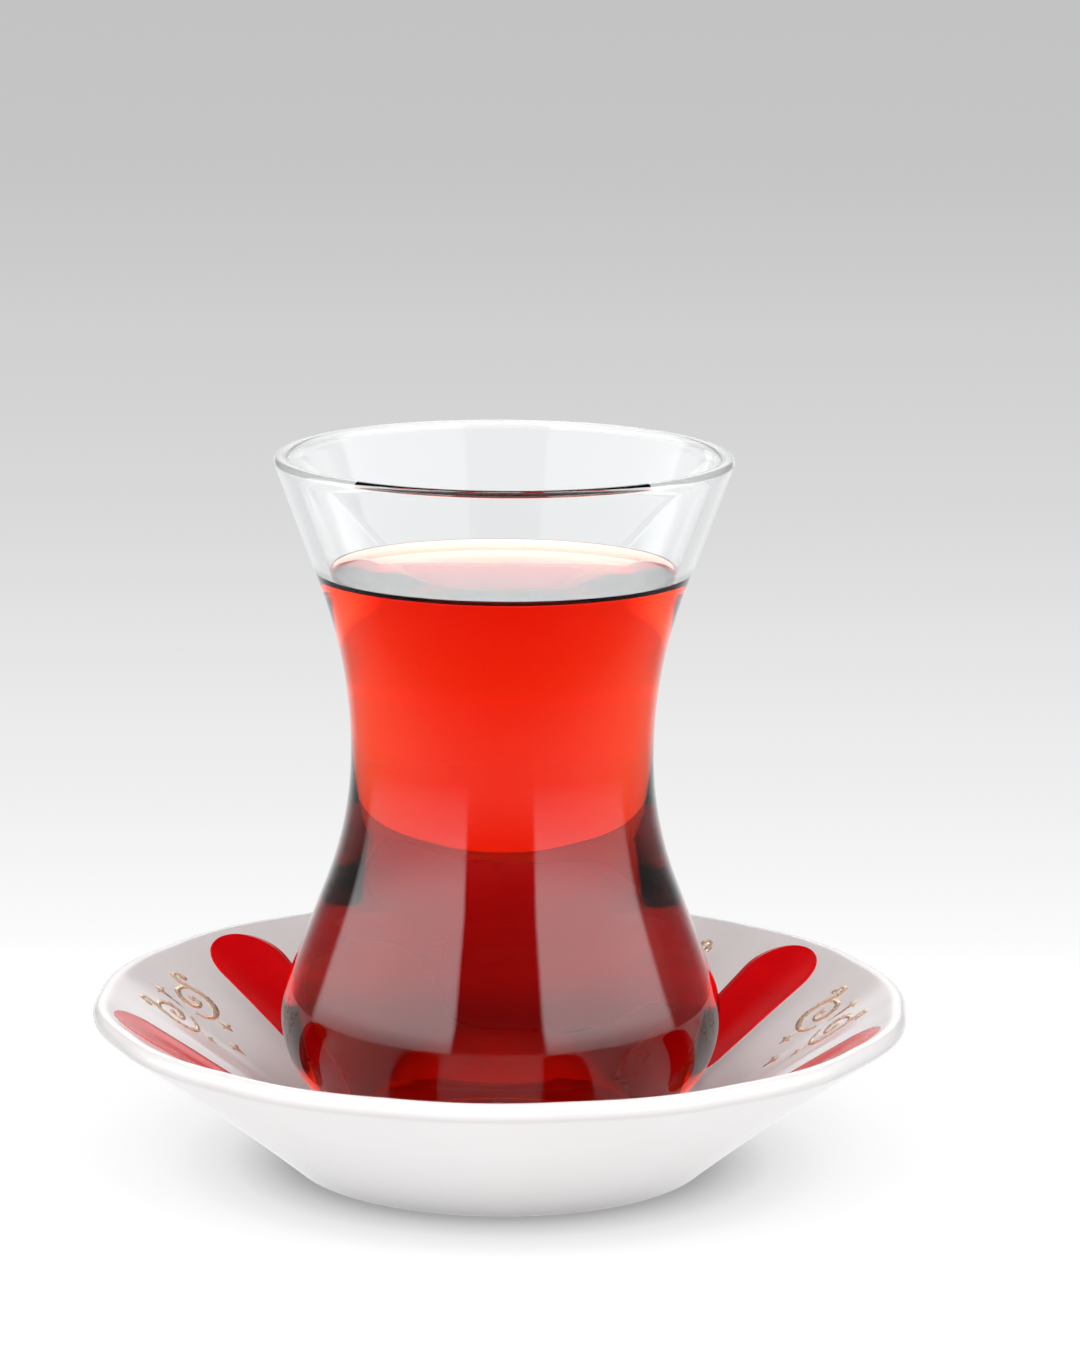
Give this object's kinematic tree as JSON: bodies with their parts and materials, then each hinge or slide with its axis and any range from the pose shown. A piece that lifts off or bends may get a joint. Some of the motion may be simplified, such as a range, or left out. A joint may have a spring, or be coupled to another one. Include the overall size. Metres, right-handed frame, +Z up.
{
  "type": "turkish tea glass with saucer, filled",
  "caption": "Waisted clear tea glass filled with red-brown black tea, standing in the well of a fluted white porcelain saucer with red petals and gold scrolls",
  "frame": {"origin": "on the axis of glass and saucer, in the plane of the saucer's foot ring", "axes": "+Z up along the axis of the glass; -Y is the front"},
  "size_m": [0.1128, 0.1132, 0.0995],
  "materials": {
    "porcelain": "white glaze with red and gold print inside",
    "clear_glass": "clear polished glass",
    "tea": "clear red-brown liquid"
  },
  "bodies": {
    "root": {"saucer": "porcelain", "glass": "clear_glass", "tea": "tea"}
  },
  "joints": []
}
